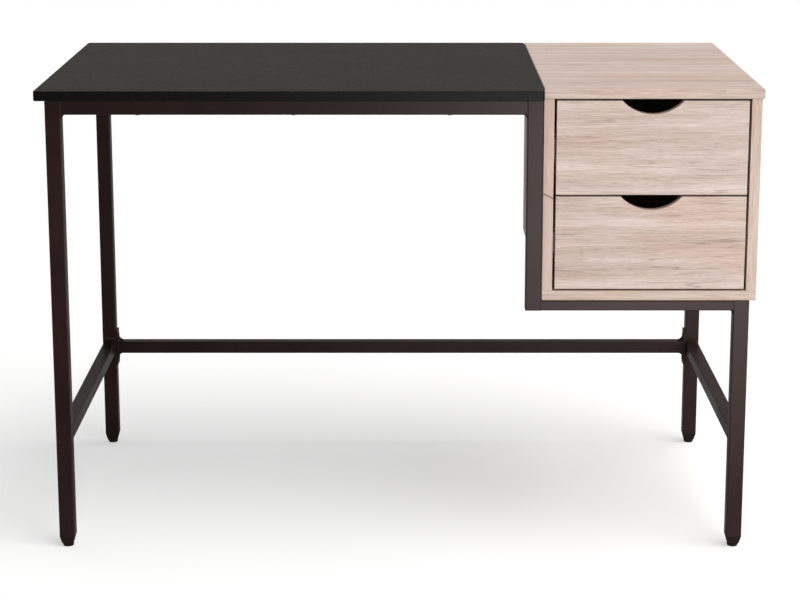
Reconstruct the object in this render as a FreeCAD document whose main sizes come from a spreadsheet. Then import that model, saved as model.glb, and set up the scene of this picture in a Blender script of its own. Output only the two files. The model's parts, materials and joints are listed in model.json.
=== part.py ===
"""Writing desk with a two-drawer pedestal on a welded square-tube frame.

Millimetres. +X runs to the right along the desk, +Y to the back and +Z up. The origin is on the
floor, under the middle of the two tops. The drawers are modelled closed and pull out along -Y.
"""

import FreeCAD, Part
import os
import re

import Sketcher

Vector = FreeCAD.Vector
Rotation = FreeCAD.Rotation

# Driving dimensions: alias, size in mm, what it measures.
SIZES = [
    ("total_width", 1150, "across both tops"),
    ("total_depth", 600, "front to back of the worktop"),
    ("total_height", 762, "floor to the upper face of the tops"),
    ("top_thickness", 16, "worktop and cabinet top"),
    ("top_corner", 5, "plan radius of the worktop's corners"),
    ("top_edge", 1.5, "rounding of the worktop's edges"),
    ("cabinet_top_edge", 2.5, "rounding of the cabinet top's edges"),
    ("wood_edge", 0.8, "rounding of the other visible wooden edges"),
    ("top_seam", 1, "between worktop and cabinet top"),
    ("cabinet_top_width", 347.5, "cabinet top, left to right"),
    ("front_overhang", 21, "worktop past the front legs"),
    ("side_overhang", 14, "tops past the outer legs"),
    ("back_overhang", 4, "tops past the rear legs"),
    ("leg_tube", 25, "side of the square leg tube"),
    ("flat_rail", 16, "height of the rails under the cabinet"),
    ("cross_tube", 22, "side of the stretcher tube"),
    ("tube_wall", 1.5, "wall of every tube"),
    ("tube_corner", 1.6, "outer corner radius of every tube"),
    ("stretcher_level", 188, "height of the stretchers' centre line"),
    ("plate_thickness", 3, "end plate of the rear stretcher"),
    ("plate_height", 66, "end plate, up and down"),
    ("bolt_offset", 22, "bolt centre above and below the stretcher's centre line"),
    ("bolt_radius", 3, "stretcher bolt shank"),
    ("bolt_head_radius", 5.2, "stretcher bolt head"),
    ("bolt_head", 1.8, "height of the stretcher bolt's low head"),
    ("bolt_reach", 11, "bolt shank past the end plate"),
    ("foot_height", 18, "floor to the end of the leg tube"),
    ("glide_height", 6, "round pad of the foot glide"),
    ("glide_radius", 9, "round pad of the foot glide"),
    ("glide_chamfer", 2, "height of the pad's chamfered rim"),
    ("glide_plug", 18, "glide's plug inside the leg"),
    ("plug_slack", 0.3, "between plug and tube wall"),
    ("cabinet_floor", 418.5, "floor to the underside of the cabinet"),
    ("cabinet_width", 344, "outside of the cabinet's sides"),
    ("panel", 16, "thickness of the cabinet's panels and drawer fronts"),
    ("post_gap", 1.6, "between drop post and cabinet"),
    ("cabinet_setback", 4, "cabinet front behind the frame's front"),
    ("cabinet_nose", 2, "cabinet top past the cabinet's front"),
    ("rear_gap", 3, "between cabinet and rear frame"),
    ("back_panel", 6, "thickness of the cabinet's back"),
    ("back_inset", 6, "back panel in from the sides' rear edges"),
    ("groove_depth", 5, "depth of every groove"),
    ("groove_slack", 0.3, "between a groove and its panel, each way"),
    ("side_reveal", 4, "gap at each side of a drawer front"),
    ("reveal", 3, "gap above, between and below the drawer fronts"),
    ("notch_width", 98, "finger notch at the front's upper edge"),
    ("notch_depth", 22, "finger notch at its deepest"),
    ("slide_space", 13, "between cabinet side and drawer box"),
    ("slide_length", 450, "drawer slide"),
    ("slide_height", 45, "drawer slide"),
    ("slide_back", 2, "slide behind the drawer front"),
    ("slide_rise", 72, "slide's centre above the drawer front's lower edge"),
    ("steel", 1.2, "sheet of the slide members"),
    ("ball_radius", 2, "slide balls"),
    ("ball_slack", 0.1, "between ball and race"),
    ("ball_pitch", 40, "between balls of one row"),
    ("box_board", 12, "drawer sides and back"),
    ("box_height", 120, "drawer sides and back"),
    ("box_rise", 12, "drawer sides above the front's lower edge"),
    ("box_length", 455, "drawer sides"),
    ("bottom_board", 4, "drawer bottom"),
    ("bottom_rise", 20, "drawer bottom above the front's lower edge"),
    ("dowel_radius", 4, "cabinet dowels"),
    ("small_dowel_radius", 3, "drawer dowels"),
    ("dowel_slack", 0.1, "around every dowel and screw"),
    ("screw_radius", 2, "screws through the rails"),
    ("screw_head_radius", 4, "screws through the rails"),
    ("screw_head", 2.4, "height of the pan heads"),
    ("screw_bite", 11, "screws into a top or panel"),
    ("slide_screw_radius", 1.75, "screws of the slides"),
    ("slide_screw_head", 3, "head radius of the slides' screws"),
    ("slide_screw_bite", 10, "slide screws into the wood"),
]
ALIASES = {alias for alias, _, _ in SIZES}

# Where fasteners stand along their board or rail, in mm from its front or left end.
WORKTOP_SCREW_OFFSETS = (120, 367, 614)
CABINET_SCREW_OFFSETS = (70, 250)
DOWEL_OFFSETS = (40, 283, 520)
SLIDE_SCREW_OFFSETS = (42, 225, 408)
DRAWER_DOWEL_OFFSETS = (40, 106)

# The small end of a head, as a share of its large end.
PAN_HEAD_TAPER = 0.8
BOLT_HEAD_TAPER = 0.75

# Where the main planes lie, as formulas of the sheet's cells.
LEFT = "(side_overhang - total_width / 2)"
RIGHT = "(total_width / 2 - side_overhang)"
FRONT = "(front_overhang - total_depth / 2)"
BACK = "(total_depth / 2 - back_overhang)"
UNDERSIDE = "(total_height - top_thickness)"
RAIL_DEPTH = f"({BACK} - {FRONT} - 2 * leg_tube)"
CABINET_LEFT = "(total_width / 2 - cabinet_top_width)"
CABINET_RIGHT = f"({CABINET_LEFT} + cabinet_width)"
CABINET_FRONT = f"({FRONT} + cabinet_setback)"
CABINET_BACK = f"({BACK} - leg_tube - rear_gap)"
CABINET_DEPTH = f"({CABINET_BACK} - {CABINET_FRONT})"
CABINET_BASE = "(cabinet_floor + panel)"
INNER_LEFT = f"({CABINET_LEFT} + panel)"
INNER_RIGHT = f"({CABINET_RIGHT} - panel)"
INNER_WIDTH = "(cabinet_width - 2 * panel)"
INNER_HEIGHT = f"({UNDERSIDE} - {CABINET_BASE})"
POST = f"({CABINET_LEFT} - post_gap - leg_tube)"
FRONT_HEIGHT = f"(({INNER_HEIGHT} - 3 * reveal) / 2)"
BOX_FRONT = f"({CABINET_FRONT} + panel)"
BOX_LEFT = f"({INNER_LEFT} + slide_space)"
BOX_RIGHT = f"({INNER_RIGHT} - slide_space)"
SLIDE_FRONT = f"({BOX_FRONT} + slide_back)"
DRAWERS = {
    "lower": f"({CABINET_BASE} + reveal)",
    "upper": f"({CABINET_BASE} + 2 * reveal + {FRONT_HEIGHT})",
}

RISE_ALONG = {
    "x": Rotation(Vector(0, 1, 0), 90),
    "-x": Rotation(Vector(0, 1, 0), -90),
    "y": Rotation(Vector(1, 0, 0), -90),
    "-y": Rotation(Vector(1, 0, 0), 90),
    "z": Rotation(),
    "-z": Rotation(Vector(1, 0, 0), 180),
}

doc = FreeCAD.newDocument("writing_desk")
sheet = doc.addObject("Spreadsheet::Sheet", "Sizes")
nodes = []


def fill_sheet():
    for row, (alias, size, note) in enumerate(SIZES, start=1):
        sheet.set(f"A{row}", alias)
        sheet.set(f"B{row}", str(size))
        sheet.setAlias(f"B{row}", alias)
        sheet.set(f"C{row}", note)
    doc.recompute()


def bound(formula):
    """The formula as a document expression, with each alias read from the sheet."""
    return re.sub(r"[a-z_]+", lambda word: f"Sizes.{word[0]}" if word[0] in ALIASES else word[0], formula)


def bind(thing, setting, formula):
    thing.setExpression(setting, bound(str(formula)))


def value(formula):
    return float(sheet.evalExpression(bound(str(formula))))


def place(thing, x, y, z, turn=Rotation()):
    """Puts the thing at (x, y, z), bound to the sheet, and turns it."""
    thing.Placement = FreeCAD.Placement(Vector(value(x), value(y), value(z)), turn)
    for axis, formula in zip("xyz", (x, y, z)):
        bind(thing, f"Placement.Base.{axis}", formula)
    return thing


def node(thing, label):
    """Marks the thing as a sub-part: its label names its file."""
    thing.Label = label
    nodes.append(thing)
    return thing


# ---- Part primitives, each bound to the sheet


def box(size, corner):
    thing = doc.addObject("Part::Box", "Board")
    for setting, formula in zip(("Length", "Width", "Height"), size):
        bind(thing, setting, formula)
    return place(thing, *corner)


def rod(radius, length, start, along):
    thing = doc.addObject("Part::Cylinder", "Rod")
    bind(thing, "Radius", radius)
    bind(thing, "Height", length)
    return place(thing, *start, RISE_ALONG[along])


def cone(start_radius, end_radius, length, start, along):
    thing = doc.addObject("Part::Cone", "Cone")
    bind(thing, "Radius1", start_radius)
    bind(thing, "Radius2", end_radius)
    bind(thing, "Height", length)
    return place(thing, *start, RISE_ALONG[along])


def group(pieces):
    thing = doc.addObject("Part::Compound", "Group")
    thing.Links = pieces
    return thing


def fuse(pieces):
    thing = doc.addObject("Part::MultiFuse", "Joined")
    thing.Shapes = pieces
    return thing


def cut(base, tools):
    thing = doc.addObject("Part::Cut", "Cut")
    thing.Base = base
    thing.Tool = group(tools)
    return thing


# ---- Sketched bodies


def sketch_on(body, role):
    plane = next(p for p in body.Origin.OriginFeatures if p.Role == role)
    sketch = body.newObject("Sketcher::SketchObject", "Outline")
    sketch.AttachmentSupport = [(plane, "")]
    sketch.MapMode = "FlatFace"
    return sketch


def name_size(sketch, constraint, name, formula):
    index = sketch.addConstraint(constraint)
    sketch.renameConstraint(index, name)
    bind(sketch, f"Constraints.{name}", formula)


def close_outline(sketch, corners):
    """Straight lines from corner to corner and back to the first; returns their indices."""
    lines = []
    for here, there in zip(corners, corners[1:] + corners[:1]):
        lines.append(sketch.addGeometry(Part.LineSegment(Vector(*here, 0), Vector(*there, 0))))
    for line, after in zip(lines, lines[1:] + lines[:1]):
        sketch.addConstraint(Sketcher.Constraint("Coincident", line, 2, after, 1))
    return lines


def draw_rectangle(sketch, width, height):
    """A rectangle centred on the sketch's origin."""
    half_x, half_y = value(width) / 2, value(height) / 2
    corners = [(-half_x, -half_y), (half_x, -half_y), (half_x, half_y), (-half_x, half_y)]
    lower, right, upper, left = close_outline(sketch, corners)
    for line in (lower, upper):
        sketch.addConstraint(Sketcher.Constraint("Horizontal", line))
    for line in (right, left):
        sketch.addConstraint(Sketcher.Constraint("Vertical", line))
    sketch.addConstraint(Sketcher.Constraint("Symmetric", lower, 1, right, 2, -1, 1))
    across = Sketcher.Constraint("DistanceX", lower, 1, lower, 2, 2 * half_x)
    name_size(sketch, across, f"across{lower}", width)
    upward = Sketcher.Constraint("DistanceY", right, 1, right, 2, 2 * half_y)
    name_size(sketch, upward, f"upward{lower}", height)


def draw_polygon(sketch, corners):
    """A closed outline whose corners are pairs of formulas, none of them negative."""
    lines = close_outline(sketch, [(value(x), value(y)) for x, y in corners])
    for line, (x, y) in zip(lines, corners):
        for kind, axis, formula in (("DistanceX", -2, x), ("DistanceY", -1, y)):
            if formula == "0":
                sketch.addConstraint(Sketcher.Constraint("PointOnObject", line, 1, axis))
            else:
                size = Sketcher.Constraint(kind, -1, 1, line, 1, value(formula))
                name_size(sketch, size, f"{kind}{line}", formula)


def pad(body, sketch, length):
    feature = body.newObject("PartDesign::Pad", "Pad")
    feature.Profile = sketch
    bind(feature, "Length", length)
    doc.recompute()
    return feature


def round_edges(body, picked, radius):
    """Rounds the edges of the body's last feature that picked(edge) accepts."""
    base = body.Tip
    edges = [f"Edge{i}" for i, edge in enumerate(base.Shape.Edges, start=1) if picked(edge)]
    feature = body.newObject("PartDesign::Fillet", "Rounding")
    feature.Base = (base, edges)
    bind(feature, "Radius", radius)
    doc.recompute()


def runs_up(edge):
    return abs(edge.BoundBox.ZLength - edge.Length) < 1e-6


def tube(across, upward, length, start, along, end_plate=False):
    """A square or flat tube whose section is centred on its start; an end plate closes the start."""
    body = doc.addObject("PartDesign::Body", "Tube")
    section = sketch_on(body, "XY_Plane")
    draw_rectangle(section, across, upward)
    draw_rectangle(section, f"{across} - 2 * tube_wall", f"{upward} - 2 * tube_wall")
    pad(body, section, length)
    if end_plate:
        plate = sketch_on(body, "XY_Plane")
        draw_rectangle(plate, across, upward)
        pad(body, plate, "tube_wall")
    half_x, half_y = value(across) / 2, value(upward) / 2

    def outer_corner(edge):
        middle = edge.BoundBox.Center
        return runs_up(edge) and abs(abs(middle.x) - half_x) + abs(abs(middle.y) - half_y) < 1e-6

    round_edges(body, outer_corner, "tube_corner")
    return place(body, *start, RISE_ALONG[along])


def profile_bar(corners, length):
    """A bar of constant section: the sketch's X and Y become the section, its pad the length."""
    body = doc.addObject("PartDesign::Body", "Profile")
    section = sketch_on(body, "XY_Plane")
    draw_polygon(section, corners)
    pad(body, section, length)
    return body


def board(width, depth, thickness, centre, rounding, corner_radius=None, turn=Rotation()):
    """A flat board with rounded edges, centred on the given point of its underside."""
    body = doc.addObject("PartDesign::Body", "Board")
    plan = sketch_on(body, "XY_Plane")
    draw_rectangle(plan, width, depth)
    pad(body, plan, thickness)
    if corner_radius:
        round_edges(body, runs_up, corner_radius)
    round_edges(body, lambda edge: not runs_up(edge), rounding)
    return place(body, *centre, turn)


# ---- Frame


def leg_hole(x, along, height):
    return rod("bolt_radius + dowel_slack", "2 * tube_wall", (x, f"{BACK} - leg_tube / 2", height), along)


def bolt_levels():
    return ["stretcher_level - bolt_offset", "stretcher_level + bolt_offset"]


def make_legs():
    """Three legs up to the tops, and a short one under the cabinet's front right corner."""
    sides = {
        "left": (f"{LEFT} + leg_tube / 2", f"{LEFT} + leg_tube - 2 * tube_wall", "x"),
        "right": (f"{RIGHT} - leg_tube / 2", f"{RIGHT} - leg_tube + 2 * tube_wall", "-x"),
    }
    for end, y in rail_centres().items():
        for side, (x, hole_start, hole_way) in sides.items():
            upper_end = "cabinet_floor" if (end, side) == ("front", "right") else UNDERSIDE
            leg = tube("leg_tube", "leg_tube", f"{upper_end} - foot_height", (x, y, "foot_height"), "z")
            if end == "rear":
                leg = cut(leg, [leg_hole(hole_start, hole_way, z) for z in bolt_levels()])
            node(leg, f"leg_{end}_{side}")


def glide(x, y):
    """A plastic foot: a plug in the tube, a tapered collar and a round pad on the floor."""
    plug_side = "(leg_tube - 2 * tube_wall - 2 * plug_slack)"
    plug = box(
        (plug_side, plug_side, "glide_plug"),
        (f"{x} - {plug_side} / 2", f"{y} - {plug_side} / 2", "foot_height"),
    )
    collar = doc.addObject("Part::Wedge", "Collar")
    for low, high in (("Xmin", "Xmax"), ("Zmin", "Zmax")):
        bind(collar, low, "-glide_radius")
        bind(collar, high, "glide_radius")
    for low, high in (("X2min", "X2max"), ("Z2min", "Z2max")):
        bind(collar, low, "plug_slack - leg_tube / 2")
        bind(collar, high, "leg_tube / 2 - plug_slack")
    bind(collar, "Ymin", "0")
    bind(collar, "Ymax", "foot_height - glide_height")
    place(collar, x, y, "glide_height", Rotation(Vector(1, 0, 0), 90))
    rim = cone("glide_radius - glide_chamfer / 2", "glide_radius", "glide_chamfer", (x, y, "0"), "z")
    foot = rod("glide_radius", "glide_height - glide_chamfer", (x, y, "glide_chamfer"), "z")
    return fuse([plug, collar, rim, foot])


def make_glides():
    feet = []
    for x in (f"({LEFT} + leg_tube / 2)", f"({RIGHT} - leg_tube / 2)"):
        for y in (f"({FRONT} + leg_tube / 2)", f"({BACK} - leg_tube / 2)"):
            feet.append(glide(x, y))
    node(group(feet), "foot_glides")


def rail_centres():
    """Y of the centre lines of the front and rear rails."""
    return {"front": f"({FRONT} + leg_tube / 2)", "rear": f"({BACK} - leg_tube / 2)"}


def worktop_screw_places():
    return [f"{LEFT} + leg_tube + {offset}" for offset in WORKTOP_SCREW_OFFSETS]


def cabinet_screw_places():
    return [f"{CABINET_LEFT} + {offset}" for offset in CABINET_SCREW_OFFSETS]


def rail_screw(x, y, rail_underside, panel_underside):
    """A pan-head screw up through a rail and into the board above it."""
    length = f"{panel_underside} - {rail_underside} + screw_bite"
    shank = rod("screw_radius", length, (x, y, rail_underside), "z")
    head_start = (x, y, f"{rail_underside} - screw_head")
    head = cone(f"screw_head_radius * {PAN_HEAD_TAPER}", "screw_head_radius", "screw_head", head_start, "z")
    return fuse([shank, head])


def pilot(x, y, panel_underside):
    return rod("screw_radius + dowel_slack", "screw_bite + 1", (x, y, panel_underside), "z")


def rail_hole(x, y, underside, height):
    return rod("screw_radius + dowel_slack", height, (x, y, underside), "z")


def make_rails():
    """The plain rear rail, the front rail that drops round the cabinet, and the rails from front to back."""
    high = f"({UNDERSIDE} - leg_tube / 2)"
    low = "(cabinet_floor - flat_rail / 2)"
    rail_start = f"{LEFT} + leg_tube"
    front_y, rear_y = rail_centres().values()

    rear = tube("leg_tube", "leg_tube", f"{RIGHT} - {LEFT} - 2 * leg_tube", (rail_start, rear_y, high), "x")
    places = worktop_screw_places() + cabinet_screw_places()
    holes = [rail_hole(x, rear_y, f"{UNDERSIDE} - leg_tube", "leg_tube") for x in places]
    node(cut(rear, holes), "top_rail_rear")

    front = tube("leg_tube", "leg_tube", f"{POST} - {LEFT} - leg_tube", (rail_start, front_y, high), "x")
    holes = [rail_hole(x, front_y, f"{UNDERSIDE} - leg_tube", "leg_tube") for x in worktop_screw_places()]
    node(cut(front, holes), "top_rail_front")
    post_base = "(cabinet_floor - flat_rail)"
    post_start = (f"{POST} + leg_tube / 2", front_y, post_base)
    post = tube("leg_tube", "leg_tube", f"{UNDERSIDE} - {post_base}", post_start, "z", end_plate=True)
    node(post, "drop_post")
    lower_length = f"{RIGHT} - {POST} - 2 * leg_tube"
    lower = tube("flat_rail", "leg_tube", lower_length, (f"{POST} + leg_tube", front_y, low), "x")
    holes = [rail_hole(x, front_y, post_base, "flat_rail") for x in cabinet_screw_places()]
    node(cut(lower, holes), "lower_rail_front")

    behind = f"{FRONT} + leg_tube"
    left, right = (f"{LEFT} + leg_tube / 2", f"{RIGHT} - leg_tube / 2")
    node(tube("leg_tube", "leg_tube", RAIL_DEPTH, (left, behind, high), "y"), "top_rail_left")
    node(tube("leg_tube", "flat_rail", RAIL_DEPTH, (right, behind, low), "y"), "lower_rail_right")


def make_stretchers():
    """Side stretchers welded between the legs, and a rear one bolted on through its end plates."""
    behind = f"{FRONT} + leg_tube"
    for side, x in (("left", f"{LEFT} + leg_tube / 2"), ("right", f"{RIGHT} - leg_tube / 2")):
        bar = tube("cross_tube", "cross_tube", RAIL_DEPTH, (x, behind, "stretcher_level"), "y")
        node(bar, f"stretcher_{side}")
    rear = f"({BACK} - leg_tube / 2)"
    left_plate, right_plate = f"({LEFT} + leg_tube)", f"({RIGHT} - leg_tube - plate_thickness)"
    bar = tube(
        "cross_tube",
        "cross_tube",
        f"{right_plate} - {left_plate} - plate_thickness",
        (f"{left_plate} + plate_thickness", rear, "stretcher_level"),
        "x",
    )
    node(bar, "stretcher_rear")
    plates, bolts = [], []
    for x in (left_plate, right_plate):
        plate = box(
            ("plate_thickness", "leg_tube", "plate_height"),
            (x, f"{BACK} - leg_tube", "stretcher_level - plate_height / 2"),
        )
        holes = []
        for z in bolt_levels():
            holes.append(rod("bolt_radius + dowel_slack", "plate_thickness", (x, rear, z), "x"))
        plates.append(cut(plate, holes))
    for x, way in ((f"{left_plate} + plate_thickness", "-x"), (right_plate, "x")):
        outward = "x" if way == "-x" else "-x"
        for z in bolt_levels():
            shank = rod("bolt_radius", "plate_thickness + bolt_reach", (x, rear, z), way)
            head_top = f"bolt_head_radius * {BOLT_HEAD_TAPER}"
            head = cone("bolt_head_radius", head_top, "bolt_head", (x, rear, z), outward)
            bolts.append(fuse([shank, head]))
    node(group(plates), "stretcher_end_plates")
    node(group(bolts), "stretcher_bolts")


# ---- Tops and cabinet


def make_tops():
    """The dark worktop with its screws, and the cabinet's wooden top beside it."""
    worktop_width = "(total_width - cabinet_top_width - top_seam)"
    worktop = board(
        worktop_width,
        "total_depth",
        "top_thickness",
        (f"{worktop_width} / 2 - total_width / 2", "0", UNDERSIDE),
        "top_edge",
        "top_corner",
    )
    pilots, screws = [], []
    for y in rail_centres().values():
        for x in worktop_screw_places():
            pilots.append(pilot(x, y, UNDERSIDE))
            screws.append(rail_screw(x, y, f"({UNDERSIDE} - leg_tube)", UNDERSIDE))
    node(cut(worktop, pilots), "worktop")
    node(group(screws), "worktop_screws")

    nose = f"({CABINET_FRONT} - cabinet_nose)"
    cabinet_top = board(
        "cabinet_top_width",
        f"(total_depth / 2 - {nose})",
        "top_thickness",
        ("(total_width - cabinet_top_width) / 2", f"({nose} + total_depth / 2) / 2", UNDERSIDE),
        "cabinet_top_edge",
    )
    rear_y = rail_centres()["rear"]
    rail_pilots = [pilot(x, rear_y, UNDERSIDE) for x in cabinet_screw_places()]
    node(cut(cabinet_top, [cross_groove(UNDERSIDE), *rail_pilots, *dowel_holes(UNDERSIDE, 1)]), "cabinet_top")


def back_groove(x, width, z, height):
    """The slot that takes the cabinet's back panel."""
    y = f"{CABINET_BACK} - back_inset - back_panel - groove_slack"
    return box((width, "back_panel + 2 * groove_slack", height), (x, y, z))


def cross_groove(z):
    """The back panel's slot in the cabinet's top or bottom, from side groove to side groove."""
    return back_groove(f"{INNER_LEFT} - groove_depth", f"{INNER_WIDTH} + 2 * groove_depth", z, "groove_depth")


def dowel_spots():
    """X and Y of the dowels between each side panel and the boards above and below it."""
    spots = []
    for x in (f"{CABINET_LEFT} + panel / 2", f"{CABINET_RIGHT} - panel / 2"):
        for offset in DOWEL_OFFSETS:
            spots.append((x, f"{CABINET_FRONT} + {offset}"))
    return spots


DOWEL_IN_BOARD = 10
DOWEL_IN_SIDE = 20
DOWEL_END_SLACK = 0.5


def dowel_holes(face, way):
    """Blind dowel holes in a flat board, going up (way 1) or down (way -1) from its face."""
    along = "z" if way > 0 else "-z"
    depth = DOWEL_IN_BOARD + DOWEL_END_SLACK
    return [rod("dowel_radius + dowel_slack", depth, (x, y, face), along) for x, y in dowel_spots()]


def slide_screw_spots():
    """Y of the screws that hold each slide member."""
    return [f"({SLIDE_FRONT} + {offset})" for offset in SLIDE_SCREW_OFFSETS]


def slide_level(drawer):
    return f"({DRAWERS[drawer]} + slide_rise)"


def make_cabinet():
    """Sides standing on the bottom panel, the back in its grooves, and what fastens them."""
    for side, outer, inner, into, spots in (
        ("left", CABINET_LEFT, INNER_LEFT, "-x", dowel_spots()[:3]),
        ("right", INNER_RIGHT, INNER_RIGHT, "x", dowel_spots()[3:]),
    ):
        panel = board(
            "panel",
            CABINET_DEPTH,
            INNER_HEIGHT,
            (f"{outer} + panel / 2", f"{CABINET_FRONT} + {CABINET_DEPTH} / 2", CABINET_BASE),
            "wood_edge",
        )
        groove_x = f"{inner} - groove_depth" if side == "left" else inner
        tools = [back_groove(groove_x, "groove_depth", CABINET_BASE, INNER_HEIGHT)]
        depth = DOWEL_IN_SIDE + DOWEL_END_SLACK
        for x, y in spots:
            tools.append(rod("dowel_radius + dowel_slack", depth, (x, y, CABINET_BASE), "z"))
            tools.append(rod("dowel_radius + dowel_slack", depth, (x, y, UNDERSIDE), "-z"))
        for drawer in DRAWERS:
            for y in slide_screw_spots():
                start = (inner, y, slide_level(drawer))
                tools.append(rod("slide_screw_radius + dowel_slack", "slide_screw_bite + 1", start, into))
        node(cut(panel, tools), f"cabinet_side_{side}")

    bottom = board(
        "cabinet_width",
        CABINET_DEPTH,
        "panel",
        (f"{CABINET_LEFT} + cabinet_width / 2", f"{CABINET_FRONT} + {CABINET_DEPTH} / 2", "cabinet_floor"),
        "wood_edge",
    )
    groove = cross_groove(f"{CABINET_BASE} - groove_depth")
    front_y, rear_y = rail_centres().values()
    pilots, screws = [], []
    for x in cabinet_screw_places():
        pilots.append(pilot(x, front_y, "cabinet_floor"))
        screws.append(rail_screw(x, front_y, "(cabinet_floor - flat_rail)", "cabinet_floor"))
        screws.append(rail_screw(x, rear_y, f"({UNDERSIDE} - leg_tube)", UNDERSIDE))
    node(cut(bottom, [groove, *pilots, *dowel_holes(CABINET_BASE, -1)]), "cabinet_bottom")
    node(group(screws), "cabinet_screws")

    lap = "(groove_depth - groove_slack)"
    back = box(
        (f"{INNER_WIDTH} + 2 * {lap}", "back_panel", f"{INNER_HEIGHT} + 2 * {lap}"),
        (f"{INNER_LEFT} - {lap}", f"{CABINET_BACK} - back_inset - back_panel", f"{CABINET_BASE} - {lap}"),
    )
    node(back, "cabinet_back")

    length = DOWEL_IN_BOARD + DOWEL_IN_SIDE
    dowels = []
    for x, y in dowel_spots():
        dowels.append(rod("dowel_radius", length, (x, y, f"{CABINET_BASE} - {DOWEL_IN_BOARD}"), "z"))
        dowels.append(rod("dowel_radius", length, (x, y, f"{UNDERSIDE} - {DOWEL_IN_SIDE}"), "z"))
    node(group(dowels), "cabinet_dowels")


# ---- Drawer slides: a three-part ball slide on each side of each drawer
# Sections are drawn with X away from the cabinet's side and Y up from the slide's lower edge.

OUTER_REACH = 9
OUTER_LIP = 3.2
MIDDLE_START, MIDDLE_REACH = 1.9, 10.4
INNER_START = 4.2
OUTER_RACE, INNER_RACE = 5.2, 7.4
RACE_STEP = "(2 * ball_radius + 2 * ball_slack)"
MIDDLE_LOW = f"(steel + {RACE_STEP})"
INNER_LOW = f"(2 * steel + 2 * {RACE_STEP})"
CAGE_THICKNESS, CAGE_WIDTH, CAGE_HOLE_SLACK = 0.8, 4.4, 0.1
BALLS_PER_ROW = 5


def channel(start, reach, web_at_start, low, lip=None):
    """Section of a C-shaped member that is open towards its reach or, if not, towards its start."""
    high = f"(slide_height - {low})"
    web, tip = (start, reach) if web_at_start else (reach, start)
    inside = f"{web} + steel" if web_at_start else f"{web} - steel"
    lower = [(f"{tip}", low), (f"{tip}", f"{low} + steel"), (inside, f"{low} + steel")]
    upper = [(inside, f"{high} - steel"), (f"{tip}", f"{high} - steel"), (f"{tip}", high)]
    if lip:
        lower[1:2] = [(f"{tip}", lip), (f"{tip} - steel", lip), (f"{tip} - steel", f"{low} + steel")]
        upper[1:2] = [
            (f"{tip} - steel", f"{high} - steel"),
            (f"{tip} - steel", f"slide_height - {lip}"),
            (f"{tip}", f"slide_height - {lip}"),
        ]
    return [(f"{web}", low), *lower, *upper, (f"{web}", high)]


def on_side(side, offset):
    """X at an offset from the cabinet's inner face, on the left or the right."""
    return f"({INNER_LEFT} + ({offset}))" if side == "left" else f"({INNER_RIGHT} - ({offset}))"


def slide_member(section, side, drawer):
    """A member along the whole slide, turned so that its section faces the drawer."""
    bar = profile_bar(section, "slide_length")
    base = f"{slide_level(drawer)} - slide_height / 2"
    upright = RISE_ALONG["-y"]
    if side == "left":
        return place(bar, INNER_LEFT, f"{SLIDE_FRONT} + slide_length", base, upright)
    half_turn = Rotation(Vector(0, 0, 1), 180)
    return place(bar, INNER_RIGHT, SLIDE_FRONT, base, half_turn.multiply(upright))


def slide_screw(start_offset, side, drawer, y, outward):
    """A countersunk screw whose head is flush in the member's web."""
    into_side = outward == (side == "left")
    way = "-x" if into_side else "x"
    sign = "-" if side == "left" else "+"
    if not outward:
        sign = "+" if side == "left" else "-"
    face = on_side(side, start_offset)
    head = cone("slide_screw_head", "slide_screw_radius", "steel", (face, y, slide_level(drawer)), way)
    shank_start = f"{face} {sign} steel"
    shank = rod("slide_screw_radius", "slide_screw_bite", (shank_start, y, slide_level(drawer)), way)
    return fuse([head, shank])


def web_holes(start_offset, side, drawer, outward):
    """Countersunk holes through a member's web."""
    way = "-x" if outward == (side == "left") else "x"
    wide, narrow = "slide_screw_head + dowel_slack", "slide_screw_radius + dowel_slack"
    face = on_side(side, start_offset)
    return [cone(wide, narrow, "steel", (face, y, slide_level(drawer)), way) for y in slide_screw_spots()]


def ball_row(side, drawer, race, height):
    """One row of balls and the perforated strip that spaces them."""
    x = on_side(side, race)
    z = f"({slide_level(drawer)} - slide_height / 2 + {height})"
    centre = f"({SLIDE_FRONT} + slide_length / 2)"
    length = f"({BALLS_PER_ROW} * ball_pitch)"
    strip = box(
        (CAGE_WIDTH, length, CAGE_THICKNESS),
        (f"{x} - {CAGE_WIDTH} / 2", f"{centre} - {length} / 2", f"{z} - {CAGE_THICKNESS} / 2"),
    )
    holes, balls = [], []
    for index in range(BALLS_PER_ROW):
        y = f"{centre} + {index - (BALLS_PER_ROW - 1) / 2} * ball_pitch"
        hole_start = (x, y, f"{z} - {CAGE_THICKNESS}")
        holes.append(rod(f"ball_radius + {CAGE_HOLE_SLACK}", 2 * CAGE_THICKNESS, hole_start, "z"))
        ball = doc.addObject("Part::Sphere", "Ball")
        bind(ball, "Radius", "ball_radius")
        balls.append(place(ball, x, y, z))
    return [cut(strip, holes), *balls]


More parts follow.
